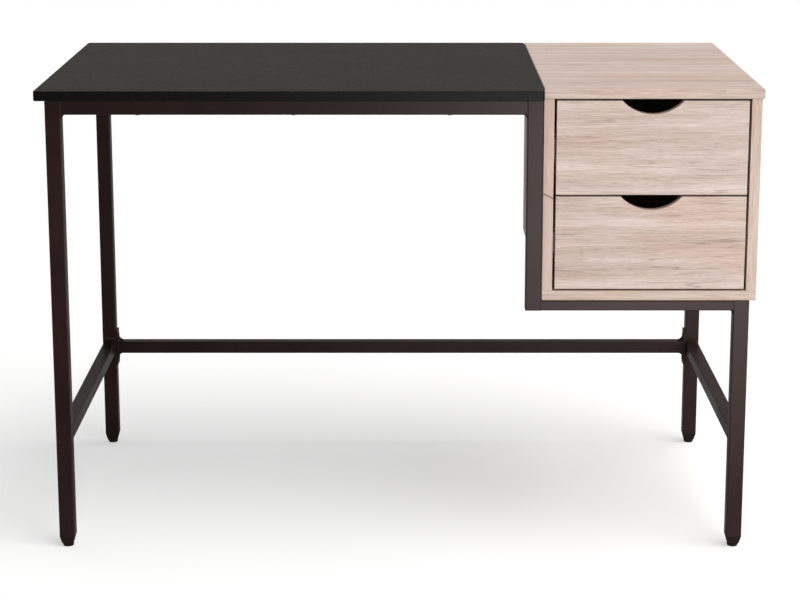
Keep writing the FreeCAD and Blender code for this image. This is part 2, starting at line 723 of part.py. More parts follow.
def make_slides():
    outer = channel("0", OUTER_REACH, True, "0", OUTER_LIP)
    middle = channel(MIDDLE_START, MIDDLE_REACH, True, MIDDLE_LOW)
    inner = channel(INNER_START, "slide_space", False, INNER_LOW)
    cabinet_screws = []
    for drawer in DRAWERS:
        drawer_screws = []
        for side in ("left", "right"):
            holes = web_holes("steel", side, drawer, True)
            node(cut(slide_member(outer, side, drawer), holes), f"{drawer}_slide_{side}_cabinet_member")
            node(slide_member(middle, side, drawer), f"{drawer}_slide_{side}_middle_member")
            holes = web_holes("slide_space - steel", side, drawer, False)
            node(cut(slide_member(inner, side, drawer), holes), f"{drawer}_slide_{side}_drawer_member")
            for y in slide_screw_spots():
                cabinet_screws.append(slide_screw("steel", side, drawer, y, True))
                drawer_screws.append(slide_screw("slide_space - steel", side, drawer, y, False))
        node(group(drawer_screws), f"{drawer}_drawer_slide_screws")
        races = {
            "outer": (OUTER_RACE, "steel + ball_radius + ball_slack"),
            "inner": (INNER_RACE, f"{MIDDLE_LOW} + steel + ball_radius + ball_slack"),
        }
        for name, (race, height) in races.items():
            rows = []
            for side in ("left", "right"):
                rows += ball_row(side, drawer, race, f"({height})")
                rows += ball_row(side, drawer, race, f"(slide_height - ({height}))")
            node(group(rows), f"{drawer}_slide_{name}_ball_cages")
    node(group(cabinet_screws), "cabinet_slide_screws")


# ---- Drawers

DOWEL_IN_FACE = 9
DOWEL_IN_END = 15


def drawer_dowel_heights(drawer):
    return [f"({DRAWERS[drawer]} + {offset})" for offset in DRAWER_DOWEL_OFFSETS]


def corner_dowels(drawer, radius, slack):
    """The dowels, or their holes, that join the drawer's sides to its front and its back."""
    length = DOWEL_IN_FACE + DOWEL_IN_END + 2 * slack
    back_y = f"{BOX_FRONT} + box_length - box_board / 2"
    rods = []
    for z in drawer_dowel_heights(drawer):
        for x in (f"{BOX_LEFT} + box_board / 2", f"{BOX_RIGHT} - box_board / 2"):
            rods.append(rod(radius, length, (x, f"{BOX_FRONT} - {DOWEL_IN_FACE + slack}", z), "y"))
        left_start = f"{BOX_LEFT} + box_board - {DOWEL_IN_FACE + slack}"
        right_start = f"{BOX_RIGHT} - box_board - {DOWEL_IN_END + slack}"
        rods.append(rod(radius, length, (left_start, back_y, z), "x"))
        rods.append(rod(radius, length, (right_start, back_y, z), "x"))
    return rods


def bottom_slot(drawer):
    """The space that the drawer bottom and its grooves take, as a cutting tool."""
    width = f"({BOX_RIGHT} - {BOX_LEFT} - 2 * box_board + 2 * groove_depth)"
    depth = "(box_length - box_board + 2 * groove_depth)"
    x = f"{BOX_LEFT} + box_board - groove_depth"
    z = f"{DRAWERS[drawer]} + bottom_rise - groove_slack"
    return box((width, depth, "bottom_board + 2 * groove_slack"), (x, f"{BOX_FRONT} - groove_depth", z))


def drawer_front(drawer):
    """A flat front with a shallow arc cut into its upper edge for the fingers."""
    body = doc.addObject("PartDesign::Body", "Front")
    face = sketch_on(body, "XZ_Plane")
    draw_rectangle(face, f"{INNER_WIDTH} - 2 * side_reveal", FRONT_HEIGHT)
    pad(body, face, "panel")
    notch = sketch_on(body, "XZ_Plane")
    radius = "((notch_width * notch_width / 4 + notch_depth * notch_depth) / (2 * notch_depth))"
    rise = f"({FRONT_HEIGHT} / 2 - notch_depth + {radius})"
    circle = notch.addGeometry(Part.Circle(Vector(0, value(rise), 0), Vector(0, 0, 1), value(radius)))
    notch.addConstraint(Sketcher.Constraint("PointOnObject", circle, 3, -2))
    name_size(notch, Sketcher.Constraint("Radius", circle, value(radius)), "notch_radius", radius)
    height = Sketcher.Constraint("DistanceY", -1, 1, circle, 3, value(rise))
    name_size(notch, height, "notch_centre", rise)
    solid_volume = body.Shape.Volume
    pocket = body.newObject("PartDesign::Pocket", "Notch")
    pocket.Profile = notch
    pocket.Type = "ThroughAll"
    pocket.Reversed = True
    doc.recompute()
    if body.Shape.Volume >= solid_volume:
        pocket.Reversed = False
        doc.recompute()
    if body.Shape.Volume >= solid_volume:
        raise RuntimeError("the finger notch removes nothing")
    round_edges(body, lambda edge: True, "wood_edge")
    centre_x = f"({INNER_LEFT} + {INNER_WIDTH} / 2)"
    return place(body, centre_x, BOX_FRONT, f"{DRAWERS[drawer]} + {FRONT_HEIGHT} / 2")


def make_drawer(drawer):
    """A front, two sides, a back and a bottom held in grooves, joined by dowels."""
    base = DRAWERS[drawer]
    box_base = f"{base} + box_rise"
    node(cut(drawer_front(drawer), [bottom_slot(drawer), *hole_dowels(drawer)]), f"{drawer}_drawer_front")
    for side, x, into in (("left", BOX_LEFT, "x"), ("right", f"{BOX_RIGHT} - box_board", "-x")):
        board_size = ("box_board", "box_length", "box_height")
        panel = box(board_size, (x, BOX_FRONT, box_base))
        outer_face = BOX_LEFT if side == "left" else BOX_RIGHT
        tools = [bottom_slot(drawer), *hole_dowels(drawer)]
        for y in slide_screw_spots():
            start = (outer_face, y, slide_level(drawer))
            tools.append(rod("slide_screw_radius + dowel_slack", "slide_screw_bite + 0.5", start, into))
        node(cut(panel, tools), f"{drawer}_drawer_side_{side}")
    inner_width = f"({BOX_RIGHT} - {BOX_LEFT} - 2 * box_board)"
    back = box(
        (inner_width, "box_board", "box_height"),
        (f"{BOX_LEFT} + box_board", f"{BOX_FRONT} + box_length - box_board", box_base),
    )
    node(cut(back, [bottom_slot(drawer), *hole_dowels(drawer)]), f"{drawer}_drawer_back")
    lap = "(groove_depth - groove_slack)"
    bottom = box(
        (f"{inner_width} + 2 * {lap}", f"box_length - box_board + 2 * {lap}", "bottom_board"),
        (f"{BOX_LEFT} + box_board - {lap}", f"{BOX_FRONT} - {lap}", f"{base} + bottom_rise"),
    )
    node(bottom, f"{drawer}_drawer_bottom")
    node(group(corner_dowels(drawer, "small_dowel_radius", 0)), f"{drawer}_drawer_dowels")


def hole_dowels(drawer):
    return corner_dowels(drawer, "small_dowel_radius + dowel_slack", DOWEL_END_SLACK)


# ---- Build, check and write


def check_objects():
    for thing in doc.Objects:
        if {"Invalid", "Error"} & set(thing.State):
            raise RuntimeError(f"{thing.Label} failed: {thing.State}")
    for thing in nodes:
        if thing.Shape.isNull() or not thing.Shape.isValid() or not thing.Shape.Solids:
            raise RuntimeError(f"{thing.Label} has no valid solid")


def write_parts():
    os.makedirs("parts", exist_ok=True)
    for thing in nodes:
        thing.Shape.exportStep(f"parts/{thing.Label}.step")


fill_sheet()
make_legs()
make_glides()
make_rails()
make_stretchers()
make_tops()
make_cabinet()
make_slides()
for drawer_name in DRAWERS:
    make_drawer(drawer_name)
doc.recompute()
check_objects()
write_parts()
print(len(nodes), "sub-parts written")
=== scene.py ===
"""The looks of a writing desk with two drawers: finishes, welds, bolts and screws on its CAD model."""

import json
import math

import bmesh
import bpy
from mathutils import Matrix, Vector

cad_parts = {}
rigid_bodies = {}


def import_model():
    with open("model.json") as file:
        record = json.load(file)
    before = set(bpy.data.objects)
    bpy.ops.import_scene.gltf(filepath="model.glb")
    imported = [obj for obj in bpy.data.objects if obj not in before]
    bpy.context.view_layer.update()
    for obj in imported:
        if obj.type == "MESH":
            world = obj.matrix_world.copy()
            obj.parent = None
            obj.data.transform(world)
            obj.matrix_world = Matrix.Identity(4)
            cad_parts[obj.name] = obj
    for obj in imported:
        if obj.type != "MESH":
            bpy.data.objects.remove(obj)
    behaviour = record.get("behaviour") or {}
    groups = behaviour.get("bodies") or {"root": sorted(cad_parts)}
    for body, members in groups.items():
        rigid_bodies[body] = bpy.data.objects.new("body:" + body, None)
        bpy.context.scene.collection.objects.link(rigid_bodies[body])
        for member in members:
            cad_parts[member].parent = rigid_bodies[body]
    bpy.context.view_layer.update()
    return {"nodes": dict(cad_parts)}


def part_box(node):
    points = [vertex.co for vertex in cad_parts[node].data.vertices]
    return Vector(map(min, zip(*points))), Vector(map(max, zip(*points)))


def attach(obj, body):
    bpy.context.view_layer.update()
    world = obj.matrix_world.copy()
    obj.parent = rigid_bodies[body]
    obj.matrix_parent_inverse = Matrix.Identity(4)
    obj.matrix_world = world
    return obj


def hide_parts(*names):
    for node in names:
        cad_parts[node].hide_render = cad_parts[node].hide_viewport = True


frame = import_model()

MM = 0.001
X, Y, Z = range(3)

SMOOTH_ANGLE = math.radians(35)

# Welds: their beads, seams and ripples. A hollow of 1 would be a true quarter circle.
BEAD = 7.5 * MM
STRETCHER_BEAD = 10 * MM
SIDE_BEAD = 1.4 * MM
SEAM = 0.35 * MM
BEAD_SIDES = 6
BEAD_HOLLOW = 0.96
WELD_ROOT = 0.3 * MM
WELD_STEP = 0.5 * MM
WELD_PITCH = 1.6 * MM
WELD_RIPPLE = 0.08
WELD_END = 0.35
WELD_RISE = 6
FEWEST_STEPS = 8
TUBE_CORNER = 1.6 * MM

# Fasteners. The dome is given as shares of the head's height and radius.
BOLT_RADIUS = 3 * MM
BOLT_HEAD = 1.8 * MM
SCREW_RADIUS = 2 * MM
SCREW_HEAD = 2.4 * MM
FASTENER_SIDES = 48
DOME = ((0.35, 1.0), (0.62, 0.94), (0.85, 0.8), (0.97, 0.62))
SHANK_TIP = 0.75
SOCKET_LIP = 1.12
SOCKET_LIP_DEPTH = 0.12
SOCKET_FLOOR = 0.8
CROSS_ARM = 0.16
CROSS_TAPER = 1.9
CROSS_MIDDLE = 0.36

# Wood: how far the grain wanders, and where the check in the left panel's front edge lies.
GRAIN_SWING = 0.02
CHECK_DEPTH = 9 * MM
CHECK_SLOPE = 0.5
CHECK_WAVER = 1.5 * MM
CHECK_WIDTH = 2.2 * MM
CHECK_CORE = 0.5 * MM

# Studio.
FLOOR_SIZE = 40
FLOOR_GLOW = 0.47
WALL_BRIGHTNESS = {"From Min": -0.9, "From Max": 0.9, "To Min": 0.2, "To Max": 0.5}
SUN_SPREAD = math.radians(50)
CAMERA_PLACE = (0.004, -3.563, 1.254)
CAMERA_TIP = math.radians(12.07)
CAMERA_LENS = 94.85
CAMERA_SHIFT = (-0.0035, -0.1)

# ---------------------------------------------------------------- materials


def rgb(code):
    """A colour written as six hexadecimal digits, in the linear values that a shader takes."""
    shades = [int(code[i:i + 2], 16) / 255 for i in (0, 2, 4)]
    return [s / 12.92 if s < 0.04045 else ((s + 0.055) / 1.055) ** 2.4 for s in shades] + [1]


class Finish:
    """One material, with short calls for the nodes that it is made of."""

    def __init__(self, name, roughness=0.5, specular=0.5, metallic=0.0):
        self.material = bpy.data.materials.new(name)
        self.material.use_nodes = True
        self.tree = self.material.node_tree
        self.surface = self.tree.nodes["Principled BSDF"]
        self.surface.inputs["Roughness"].default_value = roughness
        self.surface.inputs["Specular IOR Level"].default_value = specular
        self.surface.inputs["Metallic"].default_value = metallic
        self.place = self.add("ShaderNodeTexCoord").outputs["Object"]

    def add(self, kind, inputs=(), **settings):
        made = self.tree.nodes.new(kind)
        for key, setting in settings.items():
            setattr(made, key, setting)
        for key, value in dict(inputs).items():
            if isinstance(value, bpy.types.NodeSocket):
                self.tree.links.new(value, made.inputs[key])
            else:
                made.inputs[key].default_value = value
        return made

    def set(self, key, value):
        """Sets one of the surface's sockets, or links a node's output to it."""
        if isinstance(value, bpy.types.NodeSocket):
            self.tree.links.new(value, self.surface.inputs[key])
        else:
            self.surface.inputs[key].default_value = value

    def stretched(self, scale, shift=(0, 0, 0), place=None):
        """The place on the piece, moved and then scaled along each axis."""
        moved = self.add("ShaderNodeVectorMath", {0: place or self.place, 1: shift}, operation="ADD")
        scaled = self.add("ShaderNodeVectorMath", {0: moved.outputs[0], 1: scale}, operation="MULTIPLY")
        return scaled.outputs[0]

    def noise(self, scale, detail=2.0, roughness=0.5, place=None, color=False):
        made = self.add(
            "ShaderNodeTexNoise",
            {"Vector": place or self.place, "Scale": scale, "Detail": detail, "Roughness": roughness},
        )
        return made.outputs["Color" if color else "Fac"]

    def cells(self, scale, output="Distance"):
        return self.add("ShaderNodeTexVoronoi", {"Vector": self.place, "Scale": scale}).outputs[output]

    def spread(self, value, low, high, to_low=0.0, to_high=1.0):
        """The value's range from low to high, spread over to_low to to_high and held there."""
        inputs = {"Value": value, "From Min": low, "From Max": high, "To Min": to_low, "To Max": to_high}
        return self.add("ShaderNodeMapRange", inputs).outputs["Result"]

    def math(self, operation, first, second=0.5):
        return self.add("ShaderNodeMath", {0: first, 1: second}, operation=operation).outputs[0]

    def mix(self, share, first, second):
        made = self.add("ShaderNodeMix", data_type="RGBA")
        for index, value in ((0, share), (6, first), (7, second)):
            if isinstance(value, bpy.types.NodeSocket):
                self.tree.links.new(value, made.inputs[index])
            else:
                made.inputs[index].default_value = value
        return made.outputs[2]

    def edges(self, radius):
        """1 along the piece's sharp edges, and 0 on its flats."""
        rounded = self.add("ShaderNodeBevel", {"Radius": radius}, samples=8).outputs[0]
        flat = self.add("ShaderNodeNewGeometry").outputs["Normal"]
        same = self.add("ShaderNodeVectorMath", {0: rounded, 1: flat}, operation="DOT_PRODUCT")
        return self.spread(same.outputs["Value"], 0.98, 0.8)

    def bump(self, height, depth, strength=1.0, normal=None):
        """Raises the surface by up to depth metres where height is 1."""
        inputs = {"Height": height, "Distance": depth, "Strength": strength}
        if normal:
            inputs["Normal"] = normal
        return self.add("ShaderNodeBump", inputs).outputs["Normal"]


def powder_coat():
    """Dark brown powder coat: orange peel, faint blotches, and a lighter colour along the edges."""
    f = Finish("frame_paint", specular=0.11)
    blotches = f.noise(7, 3)
    flecks = f.noise(900, 1)
    coat = f.mix(f.spread(blotches, 0.35, 0.65), rgb("23120f"), rgb("2d1a17"))
    coat = f.mix(f.spread(flecks, 0.55, 0.8, 0, 0.35), coat, rgb("402b28"))
    coat = f.mix(f.math("MULTIPLY", f.edges(0.7 * MM), 0.35), coat, rgb("503a37"))
    f.set("Base Color", coat)
    f.set("Roughness", f.spread(blotches, 0.3, 0.7, 0.4, 0.5))
    peel = f.bump(f.noise(420, 2, 0.6), 0.12 * MM, 0.5)
    f.set("Normal", f.bump(flecks, 0.05 * MM, 0.4, peel))
    return f.material


def weld_metal():
    """The coat over a weld bead: the same brown, rougher and slightly uneven."""
    f = Finish("weld_paint", specular=0.11, roughness=0.5)
    spatter = f.noise(600, 3, 0.6)
    f.set("Base Color", f.mix(f.spread(spatter, 0.35, 0.7), rgb("22110e"), rgb("35221f")))
    f.set("Normal", f.bump(spatter, 0.2 * MM, 0.6))
    return f.material


def worktop_finish():
    """Charcoal black finish, softly cloudy and finely pebbled, with painted shade: its side faces coloured
    blacker than its top.
    """
    f = Finish("worktop_black", specular=0.09)
    clouds = f.noise(9, 4, 0.6)
    mottle = f.noise(150, 3, 0.65)
    pebbles = f.cells(620)
    black = f.mix(f.spread(clouds, 0.32, 0.68), rgb("110b08"), rgb("1f1812"))
    black = f.mix(f.spread(mottle, 0.44, 0.68, 0, 0.8), black, rgb("382f26"))
    black = f.mix(f.spread(pebbles, 0.3, 0.0, 0, 0.5), black, rgb("403c35"))
    # Painted shade: faces that don't look up get a blacker colour than the top, standing in for the light
    # they miss.
    up = f.add("ShaderNodeSeparateXYZ", {0: f.add("ShaderNodeNewGeometry").outputs["Normal"]}).outputs["Z"]
    edge = f.mix(f.spread(mottle, 0.42, 0.72), rgb("030304"), rgb("0b0b0d"))
    black = f.mix(f.spread(up, 0.3, 0.8), edge, black)
    f.set("Base Color", black)
    f.set("Roughness", f.spread(mottle, 0.35, 0.65, 0.46, 0.62))
    cloth = f.bump(mottle, 0.2 * MM, 0.5)
    f.set("Normal", f.bump(pebbles, 0.15 * MM, 0.6, cloth))
    return f.material


def drawn_out(grain, along, across):
    """Scales that draw a texture out along the grain."""
    return [along if axis == grain else across for axis in "xyz"]


def limed_wood(name, grain, warmth=0.0, seed=0.0, mark=None):
    """Pale limed wood with its grain along one axis.

    warmth browns the whole board, and mark is the place of a dark slanting check."""
    f = Finish(name, specular=0.2)
    shift = (seed, 1.7 * seed, 2.3 * seed)
    wander = f.noise(1, 2, 0.5, f.stretched(drawn_out(grain, 3, 16), shift), color=True)
    swing = f.add("ShaderNodeVectorMath", {0: wander, "Scale": GRAIN_SWING}, operation="SCALE").outputs[0]
    bent = f.add("ShaderNodeVectorMath", {0: f.place, 1: swing}, operation="ADD").outputs[0]
    clouds = f.noise(1, 3, 0.6, f.stretched(drawn_out(grain, 3, 11), shift))
    bands = f.noise(1, 4, 0.6, f.stretched(drawn_out(grain, 1.8, 50), shift, bent))
    brushed = f.noise(1, 4, 0.7, f.stretched(drawn_out(grain, 11, 330), shift, bent))
    fibres = f.noise(1, 3, 0.7, f.stretched(drawn_out(grain, 34, 1150), shift, bent))
    flecks = f.noise(1, 2, 0.6, f.stretched(drawn_out(grain, 42, 620), shift, bent))
    rings = f.noise(1, 3, 0.55, f.stretched(drawn_out(grain, 1.6, 30), shift, bent))
    ring_lines = f.spread(f.math("ABSOLUTE", f.math("SUBTRACT", rings, 0.5)), 0.012, 0.0)
    broken = f.spread(f.noise(1, 2, 0.5, f.stretched(drawn_out(grain, 9, 30), shift)), 0.45, 0.62)
    wood = f.mix(f.spread(bands, 0.32, 0.68), rgb("c3ab9e"), rgb("e2d1c8"))
    wood = f.mix(f.spread(clouds, 0.48, 0.68, 0, 0.5), wood, rgb("cfae98"))
    wood = f.mix(f.spread(clouds, 0.46, 0.3, 0, 0.45), wood, rgb("cdbcba"))
    wood = f.mix(f.spread(brushed, 0.52, 0.72, 0, 0.42), wood, rgb("9a8276"))
    wood = f.mix(f.spread(brushed, 0.46, 0.3, 0, 0.32), wood, rgb("e8dcd4"))
    wood = f.mix(f.spread(fibres, 0.52, 0.72, 0, 0.5), wood, rgb("8f776b"))
    wood = f.mix(f.spread(fibres, 0.46, 0.3, 0, 0.35), wood, rgb("eee4dd"))
    fleck_strength = f.math("MULTIPLY", f.spread(flecks, 0.62, 0.7), f.spread(bands, 0.6, 0.35, 0, 0.55))
    wood = f.mix(fleck_strength, wood, rgb("785f53"))
    wood = f.mix(f.math("MULTIPLY", f.math("MULTIPLY", ring_lines, broken), 0.5), wood, rgb("7d675d"))
    if warmth:
        wood = f.mix(warmth, wood, rgb("c19c80"))
    if mark:
        wood = f.mix(slanting_check(f, *mark), wood, rgb("6b4c38"))
    # Painted highlight: the board's edges are coloured lighter, standing in for the light that they catch.
    wood = f.mix(f.math("MULTIPLY", f.edges(0.9 * MM), 0.5), wood, rgb("f1e5de"))
    f.set("Base Color", wood)
    f.set("Roughness", f.spread(fibres, 0.3, 0.7, 0.48, 0.64))
    grooves = f.bump(f.spread(brushed, 0.75, 0.5), 0.1 * MM, 0.35)
    f.set("Normal", f.bump(f.spread(fibres, 0.75, 0.5), 0.1 * MM, 0.4, grooves))
    return f.material


def slanting_check(f, x, z, deepest):
    """1 on a thin line that falls to the right through x and z, on the front edge only."""
    parts = f.add("ShaderNodeSeparateXYZ", {0: f.place}).outputs
    fall = f.math("MULTIPLY", f.math("SUBTRACT", parts["X"], x), CHECK_SLOPE)
    waver = f.math("MULTIPLY", f.noise(300, 2), CHECK_WAVER)
    height = f.math("ADD", f.math("SUBTRACT", parts["Z"], z), fall)
    off_line = f.math("ABSOLUTE", f.math("ADD", height, waver))
    line = f.spread(off_line, CHECK_WIDTH, CHECK_CORE, 0, 0.85)
    return f.math("MULTIPLY", line, f.math("LESS_THAN", parts["Y"], deepest))


def plain_wood(name, grain, seed):
    """Lacquered birch of the drawer boxes: close, even grain and short flecks."""
    f = Finish(name, specular=0.4)
    shift = (seed, 1.3 * seed, 0.7 * seed)
    bands = f.noise(1, 3, 0.5, f.stretched(drawn_out(grain, 3, 60), shift))
    fibres = f.noise(1, 3, 0.65, f.stretched(drawn_out(grain, 14, 700), shift))
    flecks = f.noise(1, 1, 0.5, f.stretched(drawn_out(grain, 120, 900), shift))
    wood = f.mix(f.spread(bands, 0.3, 0.7), rgb("cdb291"), rgb("e0caae"))
    wood = f.mix(f.spread(fibres, 0.5, 0.75, 0, 0.4), wood, rgb("b3936f"))
    wood = f.mix(f.spread(flecks, 0.68, 0.8, 0, 0.35), wood, rgb("9e7f5e"))
    # Painted highlight: the board's edges are coloured lighter, standing in for the light that they catch.
    wood = f.mix(f.math("MULTIPLY", f.edges(0.8 * MM), 0.3), wood, rgb("ecdcc6"))
    f.set("Base Color", wood)
    f.set("Roughness", f.spread(fibres, 0.3, 0.7, 0.34, 0.48))
    f.set("Normal", f.bump(fibres, 0.08 * MM, 0.35))
    return f.material


def back_board():
    """Thin pressed board: fine felted fibres in two browns."""
    f = Finish("back_board", specular=0.3, roughness=0.7)
    felt = f.noise(260, 4, 0.7)
    speck = f.cells(420)
    board = f.mix(f.spread(felt, 0.35, 0.65), rgb("8a6c50"), rgb("a98a6b"))
    board = f.mix(f.spread(speck, 0.2, 0.0, 0, 0.5), board, rgb("5f4632"))
    f.set("Base Color", board)
    f.set("Normal", f.bump(felt, 0.15 * MM, 0.5))
    return f.material


def dowel_wood():
    """Raw beech, its grain along the dowels, with dark ray flecks."""
    f = Finish("dowel_wood", specular=0.3, roughness=0.65)
    fibres = f.noise(1, 3, 0.6, f.stretched((300, 300, 900)))
    rays = f.noise(1, 1, 0.5, f.stretched((900, 200, 900)))
    beech = f.mix(f.spread(fibres, 0.3, 0.7), rgb("c29b6c"), rgb("dcbd92"))
    f.set("Base Color", f.mix(f.spread(rays, 0.62, 0.75, 0, 0.5), beech, rgb("8f6a43")))
    f.set("Normal", f.bump(fibres, 0.06 * MM, 0.5))
    return f.material


def zinc(name, light, dark, roughness):
    """Zinc-plated steel: cool spangle, fine draw lines along the desk's depth, and brighter edges."""
    f = Finish(name, metallic=1.0)
    spangle = f.cells(240, output="Color")
    drawn = f.noise(1, 3, 0.6, f.stretched((1800, 30, 1800)))
    stains = f.noise(30, 3, 0.6)
    steel = f.mix(f.spread(drawn, 0.3, 0.7), rgb(dark), rgb(light))
    steel = f.mix(f.math("MULTIPLY", f.spread(stains, 0.5, 0.8), 0.4), steel, rgb("8e8a80"))
    steel = f.mix(f.math("MULTIPLY", f.edges(0.4 * MM), 0.5), steel, rgb("e6e8ea"))
    f.set("Base Color", steel)
    f.set("Roughness", f.spread(spangle, 0.1, 0.9, roughness - 0.06, roughness + 0.08))
    f.set("Normal", f.bump(drawn, 0.03 * MM, 0.4))
    return f.material


def black_steel():
    """Blackened steel of the stretcher bolts, rubbed brighter on the edges."""
    f = Finish("black_bolts", metallic=0.6, specular=0.4)
    scale = f.noise(500, 3, 0.6)
    steel = f.mix(f.spread(scale, 0.3, 0.7), rgb("1d1918"), rgb("352e2c"))
    f.set("Base Color", f.mix(f.math("MULTIPLY", f.edges(0.3 * MM), 0.6), steel, rgb("75706c")))
    f.set("Roughness", f.spread(scale, 0.3, 0.7, 0.36, 0.52))
    f.set("Normal", f.bump(scale, 0.04 * MM, 0.4))
    return f.material


def glide_plastic():
    """Matt brown-black moulded plastic with a fine spark-eroded grain and scuffed rims."""
    f = Finish("glide_plastic", specular=0.15)
    grain = f.noise(1400, 2, 0.6)
    scuffs = f.noise(60, 3, 0.7)
    plastic = f.mix(f.spread(grain, 0.3, 0.7), rgb("1a110f"), rgb("291b18"))
    scuffed = f.math("MULTIPLY", f.edges(0.6 * MM), f.spread(scuffs, 0.4, 0.7, 0.1, 0.6))
    plastic = f.mix(scuffed, plastic, rgb("40342f"))
    f.set("Base Color", plastic)
    f.set("Roughness", f.spread(scuffs, 0.3, 0.7, 0.5, 0.66))
    f.set("Normal", f.bump(grain, 0.08 * MM, 0.5))
    return f.material


# ---------------------------------------------------------------- what each CAD node is finished with

PAINT = powder_coat()
BOLTS = black_steel()
WELD = weld_metal()
WORKTOP = worktop_finish()
STEEL = zinc("slide_steel", "c9ccd0", "a4a8ad", 0.34)
BALLS = zinc("ball_steel", "dfe1e4", "bfc3c8", 0.16)
SCREWS = zinc("screw_steel", "d2d2cf", "a9a9a6", 0.3)


def middle(node):
    """The middle of a CAD node's box."""
    low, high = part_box(node)
    return (low + high) / 2


def finish_nodes():
    """Gives every CAD node a material by its material slot, with a separate log for each board."""
    by_slot = {
        "frame_paint": PAINT,
        "glide_plastic": glide_plastic(),
        "black_bolts": BOLTS,
        "worktop_black": WORKTOP,
        "back_board": back_board(),
        "dowel_wood": dowel_wood(),
        "slide_steel": STEEL,
        "ball_steel": BALLS,
        "screw_steel": SCREWS,
    }
    left_panel = middle("cabinet_side_left")
    check = (left_panel.x, left_panel.z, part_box("cabinet_side_left")[0].y + CHECK_DEPTH)
    boards = {
        "cabinet_top": limed_wood("wood_top", "x", seed=3.1),
        "cabinet_bottom": limed_wood("wood_bottom", "x", warmth=0.1, seed=7.7),
        "cabinet_side_left": limed_wood("wood_side_left", "z", warmth=0.35, seed=1.9, mark=check),
        "cabinet_side_right": limed_wood("wood_side_right", "z", warmth=0.15, seed=5.3),
        "upper_drawer_front": limed_wood("wood_upper_front", "x", seed=9.4),
        "lower_drawer_front": limed_wood("wood_lower_front", "x", seed=12.8),
    }
    for number, drawer in enumerate(("upper", "lower")):
        seed = 4.0 * number
        for side, side_seed in (("left", 4), ("right", 5)):
            board = plain_wood(f"birch_{drawer}_{side}", "y", seed + side_seed)
            boards[f"{drawer}_drawer_side_{side}"] = board
        boards[f"{drawer}_drawer_back"] = plain_wood(f"birch_{drawer}_back", "x", seed + 2)
        boards[f"{drawer}_drawer_bottom"] = plain_wood(f"birch_{drawer}_bottom", "y", seed + 3)
    for name, node in frame["nodes"].items():
        slot_name = node.data.materials[0].name
        node.data.materials[0] = boards.get(name) or by_slot[slot_name]


# ---------------------------------------------------------------- pieces added to the CAD


def new_piece(name, mesh, material, body):
    """A piece from a bmesh, shaded smooth except at its sharp edges, that rides on a body."""
    data = bpy.data.meshes.new(name)
    bmesh.ops.recalc_face_normals(mesh, faces=mesh.faces)
    mesh.to_mesh(data)
    mesh.free()
    data.materials.append(material)
    piece = bpy.data.objects.new(name, data)
    bpy.context.scene.collection.objects.link(piece)
    data.shade_smooth()
    data.set_sharp_from_angle(angle=SMOOTH_ANGLE)
    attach(piece, body)
    return piece


def sweep(mesh, start, end, outline):
    """A closed bar from start to end. outline(share) gives its section there, as offsets from the line."""
    steps = max(FEWEST_STEPS, round((end - start).length / WELD_STEP))
    rings = []
    for step in range(steps + 1):
        share = step / steps
        at = start.lerp(end, share)
        rings.append([mesh.verts.new(at + offset) for offset in outline(share)])
    for one, two in zip(rings, rings[1:]):
        for a in range(len(one)):
            b = (a + 1) % len(one)
            mesh.faces.new((one[a], one[b], two[b], two[a]))
    mesh.faces.new(rings[0])
    mesh.faces.new(rings[-1][::-1])


def torch_ripple(share, length):
    """How full the weld is at a share of its length: rippled by the torch's steps and tapered at its ends."""
    taper = min(1, WELD_RISE * share + WELD_END, WELD_RISE * (1 - share) + WELD_END)
    return taper * (1 + WELD_RIPPLE * math.sin(2 * math.pi * share * length / WELD_PITCH))


def add_bead(mesh, start, end, inward, outward, size):
    """A hollow weld bead in the corner between a rail's face and the leg that it meets."""
    length = (end - start).length

    def outline(share):
        reach = size * torch_ripple(share, length)
        offsets = [-(inward + outward) * WELD_ROOT]
        for side in range(BEAD_SIDES + 1):
            turn = math.pi / 2 * side / BEAD_SIDES
            along_rail = reach * (1 - BEAD_HOLLOW * math.sin(turn))
            along_leg = reach * (1 - BEAD_HOLLOW * math.cos(turn))
            offsets.append(inward * along_rail + outward * along_leg)
        return offsets

    sweep(mesh, start, end, outline)


def add_seam(mesh, start, end, inward, outward, size):
    """A ground-off weld across a flush joint: a low ridge, half as high as it is wide at most."""
    length = (end - start).length

    def outline(share):
        height = size * torch_ripple(share, length)
        offsets = [-outward * WELD_ROOT]
        for side in range(BEAD_SIDES + 1):
            turn = math.pi * side / BEAD_SIDES
            offsets.append(inward * 2 * size * math.cos(turn) + outward * height * math.sin(turn))
        return offsets

    sweep(mesh, start, end, outline)


def weld_end(mesh, rail, axis, at_high, faces, add, size):
    """Welds one end of a rail along the given faces, each an axis number and the way it looks."""
    low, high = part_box(rail)
    inward = Vector((0, 0, 0))
    inward[axis] = -1 if at_high else 1
    for face_axis, way in faces:
        outward = Vector((0, 0, 0))
        outward[face_axis] = way
        start = Vector(low)
        start[axis] = (high if at_high else low)[axis]
        start[face_axis] = (high if way > 0 else low)[face_axis]
        end = start.copy()
        run = 3 - axis - face_axis
        start[run] = low[run] + TUBE_CORNER
        end[run] = high[run] - TUBE_CORNER
        add(mesh, start, end, inward, outward, size)


